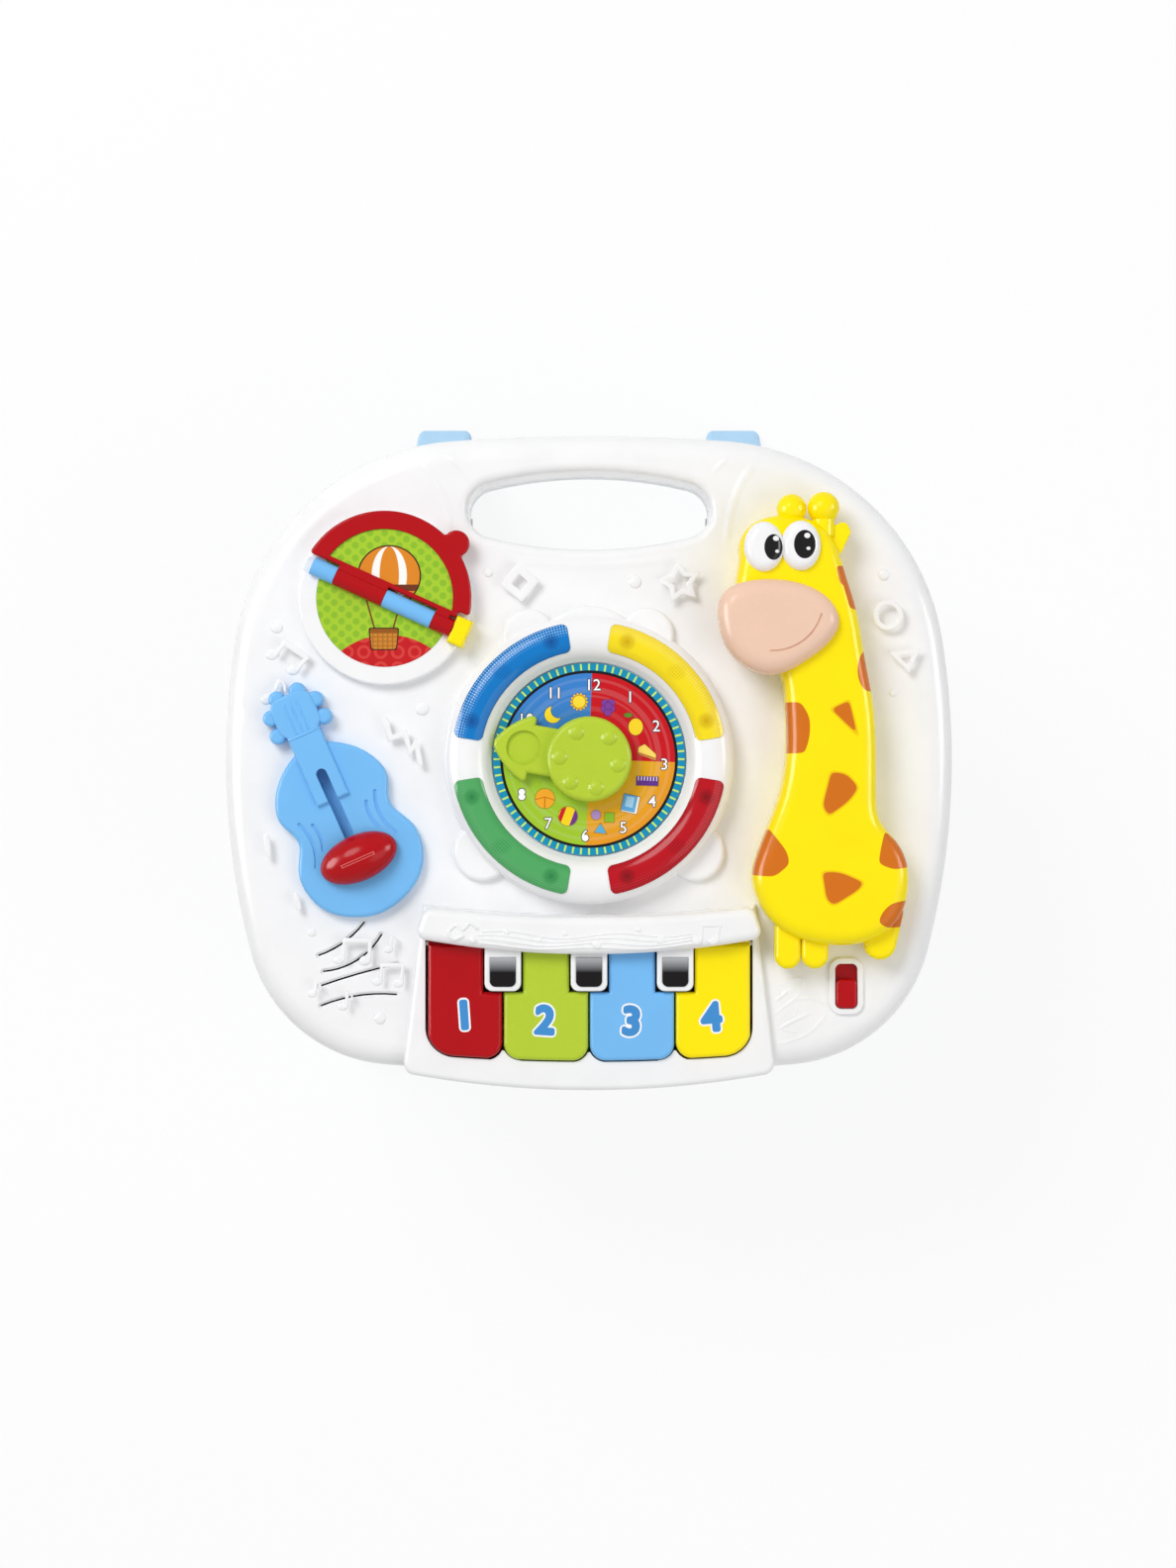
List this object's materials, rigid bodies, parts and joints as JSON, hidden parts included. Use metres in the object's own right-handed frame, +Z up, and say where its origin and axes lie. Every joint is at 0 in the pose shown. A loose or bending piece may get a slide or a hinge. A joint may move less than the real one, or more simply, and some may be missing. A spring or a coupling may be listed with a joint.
{
  "type": "activity table",
  "caption": "Toddler activity table: white play panel on folding legs with piano keys, light-up clock dial, flip page, strum guitar and lift-off giraffe handset.",
  "frame": {"origin": "on the floor, under the middle of the overall box", "axes": "+Z up, +Y towards the carry handle, +X towards the giraffe handset"},
  "size_m": [0.3636, 0.3612, 0.266],
  "materials": {
    "white_case": "gloss",
    "steel": "satin",
    "cell_wrap": "gloss",
    "board": "satin",
    "black_plastic": "gloss",
    "lime_plastic": "gloss",
    "silicone": "matt",
    "lamp": "gloss",
    "dial_print": "gloss",
    "picture_print": "gloss",
    "blue_plastic": "gloss",
    "yellow_plastic": "gloss",
    "red_plastic": "gloss",
    "peach_plastic": "gloss",
    "eye_white": "gloss",
    "foot_rubber": "matt",
    "blue_window": "gloss",
    "yellow_window": "gloss",
    "red_window": "gloss",
    "green_window": "gloss"
  },
  "bodies": {
    "table": {"top_shell": "white_case", "bottom_cover": "white_case", "battery_door": "white_case", "battery_door_screw": "steel", "battery_cells": "cell_wrap", "cell_contacts": "steel", "main_board": "board", "speaker": "black_plastic", "case_screws": "steel", "bracket_screws": "steel", "leg_brackets": "lime_plastic", "hinge_pins": "steel", "keyboard_housing": "white_case", "key_bed": "white_case", "key_rod": "steel", "key_domes": "silicone", "keyboard_canopy": "white_case", "sharp_inserts": "black_plastic", "clock_base": "white_case", "clock_bezel": "white_case", "lamp_board": "board", "lamps": "lamp", "dial_plate": "dial_print", "page_base": "white_case", "base_cards": "picture_print", "hinge_bar": "blue_plastic", "page_pin": "steel", "page_end_cap": "yellow_plastic", "guitar_body": "blue_plastic", "switch_bezel": "white_case", "switch_body": "black_plastic", "window_blue": "blue_window", "window_yellow": "yellow_window", "window_red": "red_window", "window_green": "green_window"},
    "rear_left_leg": {"leg_rear_left": "blue_plastic", "foot_pad_rear_left": "foot_rubber"},
    "rear_right_leg": {"leg_rear_right": "blue_plastic", "foot_pad_rear_right": "foot_rubber"},
    "front_left_leg": {"leg_front_left": "blue_plastic", "foot_pad_front_left": "foot_rubber"},
    "front_right_leg": {"leg_front_right": "blue_plastic", "foot_pad_front_right": "foot_rubber"},
    "red_key": {"key_red": "red_plastic"},
    "green_key": {"key_green": "lime_plastic"},
    "blue_key": {"key_blue": "blue_plastic"},
    "yellow_key": {"key_yellow": "yellow_plastic"},
    "page": {"flip_page": "red_plastic", "page_cards": "picture_print"},
    "strummer": {"strum_slider": "red_plastic", "strum_shuttle": "blue_plastic"},
    "pointer": {"pointer_knob": "lime_plastic", "knob_retainer": "lime_plastic"},
    "handset": {"giraffe_front": "yellow_plastic", "giraffe_back": "yellow_plastic", "giraffe_muzzle": "peach_plastic", "giraffe_eyes": "eye_white"},
    "power_slide": {"switch_cap": "red_plastic"}
  },
  "joints": [
    {"name": "rear_left_leg_fold", "type": "hinge", "parent": "table", "child": "rear_left_leg", "pos_m": [-0.083, 0.109, 0.174], "axis": [-1, 0, 0], "range_deg": [0, 106]},
    {"name": "rear_right_leg_fold", "type": "hinge", "parent": "table", "child": "rear_right_leg", "pos_m": [0.083, 0.109, 0.174], "axis": [-1, 0, 0], "range_deg": [0, 106]},
    {"name": "front_left_leg_fold", "type": "hinge", "parent": "table", "child": "front_left_leg", "pos_m": [-0.122, -0.109, 0.174], "axis": [1, 0, 0], "range_deg": [0, 106]},
    {"name": "front_right_leg_fold", "type": "hinge", "parent": "table", "child": "front_right_leg", "pos_m": [0.122, -0.109, 0.174], "axis": [1, 0, 0], "range_deg": [0, 106]},
    {"name": "red_key_press", "type": "hinge", "parent": "table", "child": "red_key", "pos_m": [-0.06125, -0.102, 0.233], "axis": [1, 0, 0], "range_deg": [0, 3.5], "stiffness_Nm_per_rad": 0.6, "springref_deg": -1.72, "deforming": ["key_domes"]},
    {"name": "green_key_press", "type": "hinge", "parent": "table", "child": "green_key", "pos_m": [-0.02125, -0.102, 0.233], "axis": [1, 0, 0], "range_deg": [0, 3.5], "stiffness_Nm_per_rad": 0.6, "springref_deg": -1.72, "deforming": ["key_domes"]},
    {"name": "blue_key_press", "type": "hinge", "parent": "table", "child": "blue_key", "pos_m": [0.02125, -0.102, 0.233], "axis": [1, 0, 0], "range_deg": [0, 3.5], "stiffness_Nm_per_rad": 0.6, "springref_deg": -1.72, "deforming": ["key_domes"]},
    {"name": "yellow_key_press", "type": "hinge", "parent": "table", "child": "yellow_key", "pos_m": [0.06125, -0.102, 0.233], "axis": [1, 0, 0], "range_deg": [0, 3.5], "stiffness_Nm_per_rad": 0.6, "springref_deg": -1.72, "deforming": ["key_domes"]},
    {"name": "page_flip", "type": "hinge", "parent": "table", "child": "page", "pos_m": [-0.101, 0.0686, 0.2408], "axis": [0.9114, -0.4115, 0], "range_deg": [0, 180]},
    {"name": "strum_slide", "type": "slide", "parent": "table", "child": "strummer", "axis": [-0.4067, 0.9135, 0], "range_m": [0, 0.042]},
    {"name": "pointer_turn", "type": "hinge", "parent": "table", "child": "pointer", "pos_m": [0, -0.011, 0.24], "axis": [0, 0, 1], "continuous": true},
    {"name": "handset_lift", "type": "slide", "parent": "table", "child": "handset", "axis": [0, 0, 1], "range_m": [0, 0.08]},
    {"name": "power_slide", "type": "slide", "parent": "table", "child": "power_slide", "axis": [0, 1, 0], "range_m": [0, 0.007]}
  ]
}
